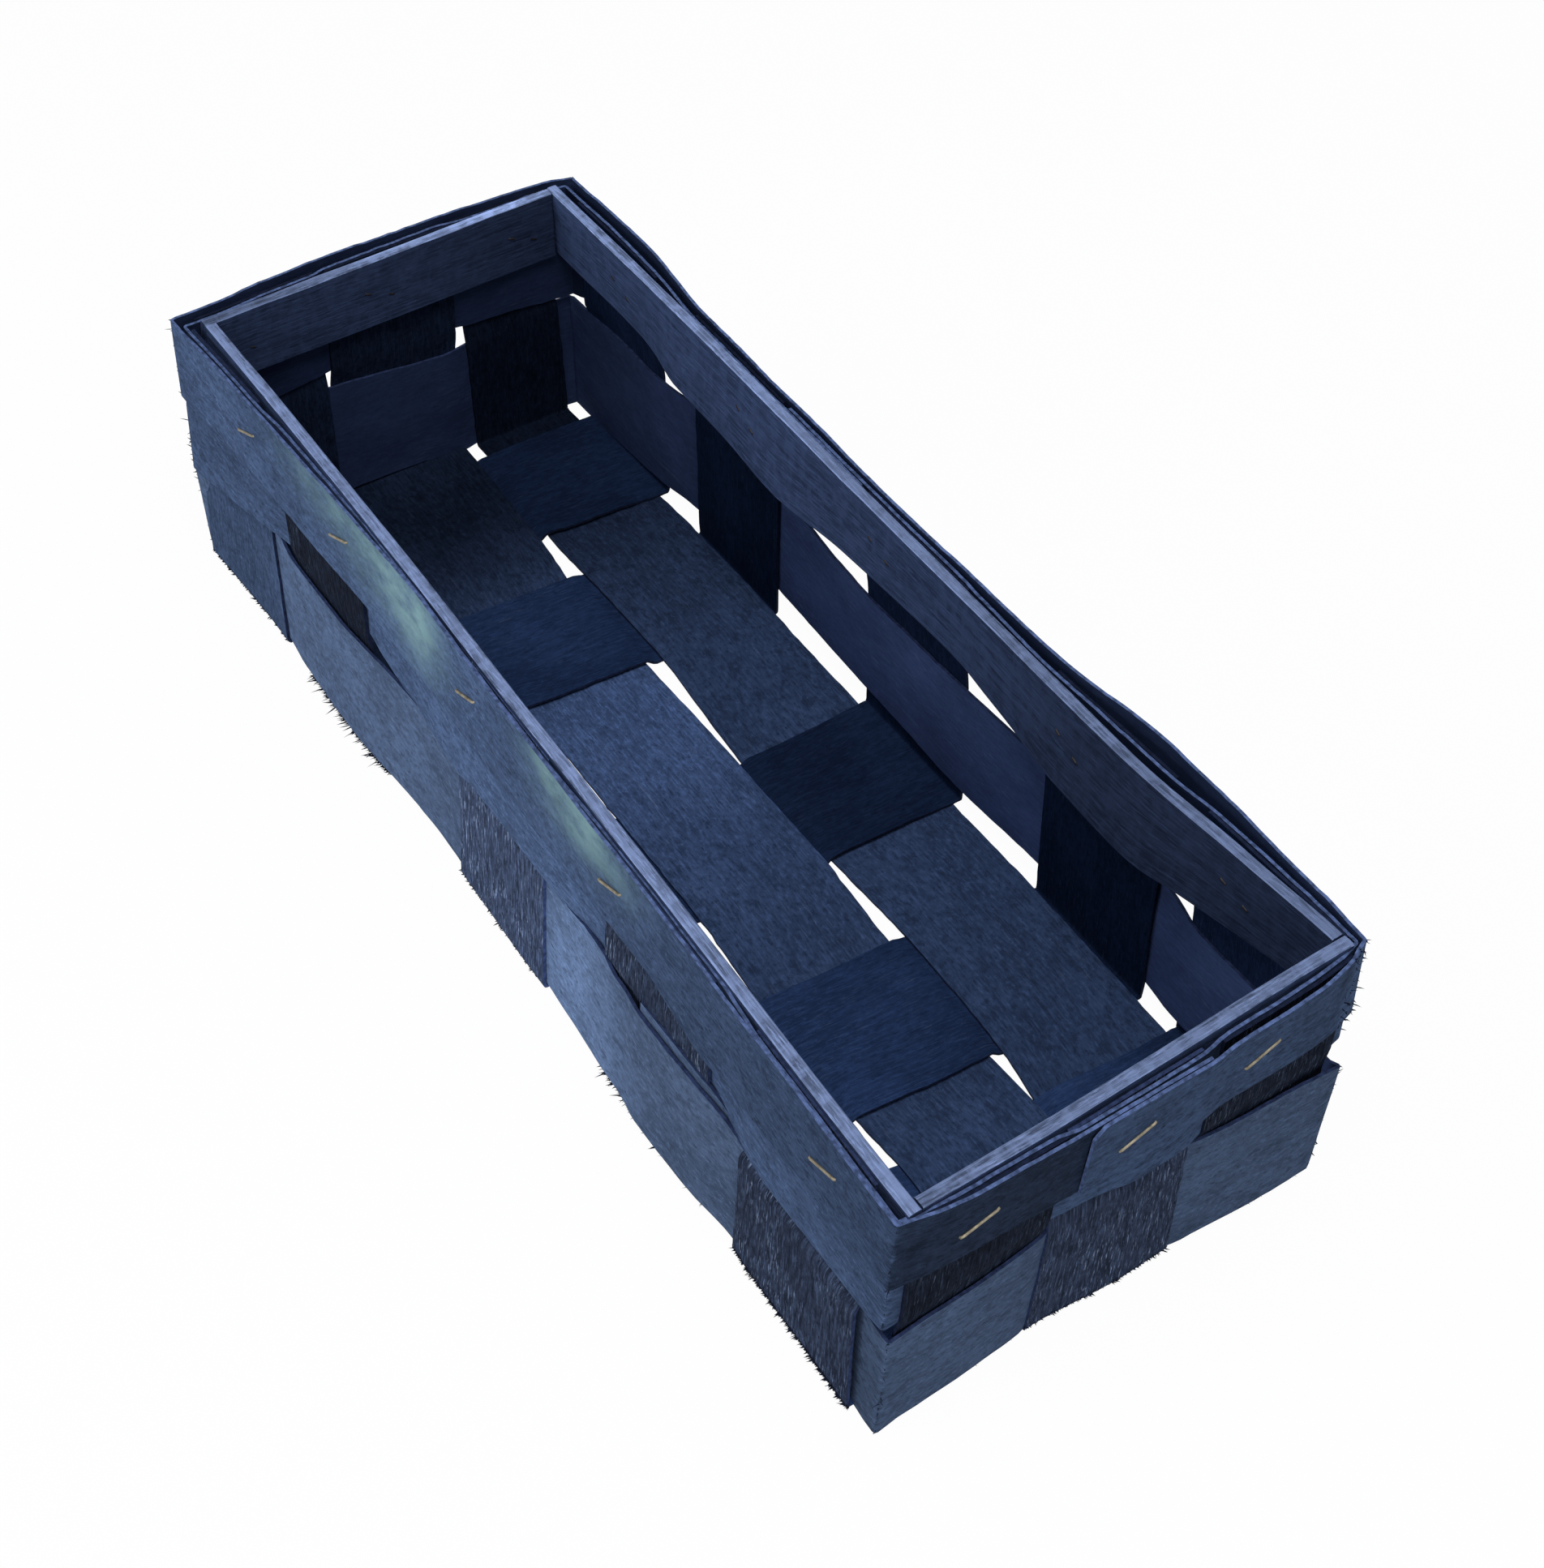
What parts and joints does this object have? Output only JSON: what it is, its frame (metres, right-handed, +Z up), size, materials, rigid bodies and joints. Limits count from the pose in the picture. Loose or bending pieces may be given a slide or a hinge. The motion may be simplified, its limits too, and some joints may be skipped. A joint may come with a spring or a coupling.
{
  "type": "woven chip basket",
  "caption": "Long rectangular open basket plain-woven from dyed wood strips, with a stapled rim hoop and inner slats, for holding small goods on a table or shelf.",
  "frame": {"origin": "middle of the base on the surface that the basket stands on, under the third cross strip", "axes": "+X along the length towards the end wall where the hoop laps, +Y from the front wall to the back wall, +Z up through the open mouth"},
  "size_m": [0.3289, 0.1214, 0.08],
  "materials": {
    "upright_strip": "dyed, rough fibrous face",
    "weaver_strip": "dyed, smooth peeled face",
    "rim_slat": "dyed, sawn with visible grain",
    "staple_wire": "bright drawn wire"
  },
  "bodies": {
    "root": {"long_strip_front": "upright_strip", "long_strip_middle": "upright_strip", "long_strip_back": "upright_strip", "cross_strip_1": "upright_strip", "cross_strip_2": "upright_strip", "cross_strip_3": "upright_strip", "cross_strip_4": "upright_strip", "cross_strip_5": "upright_strip", "lower_weaver": "weaver_strip", "upper_weaver": "weaver_strip", "rim_hoop": "weaver_strip", "rim_slat_front": "rim_slat", "rim_slat_right": "rim_slat", "rim_slat_back": "rim_slat", "rim_slat_left": "rim_slat", "staple_front_1": "staple_wire", "staple_front_2": "staple_wire", "staple_front_3": "staple_wire", "staple_front_4": "staple_wire", "staple_front_5": "staple_wire", "staple_right_1": "staple_wire", "staple_right_2": "staple_wire", "staple_right_3": "staple_wire", "staple_back_1": "staple_wire", "staple_back_2": "staple_wire", "staple_back_3": "staple_wire", "staple_back_4": "staple_wire", "staple_back_5": "staple_wire", "staple_left_1": "staple_wire", "staple_left_2": "staple_wire", "staple_left_3": "staple_wire"}
  },
  "joints": []
}
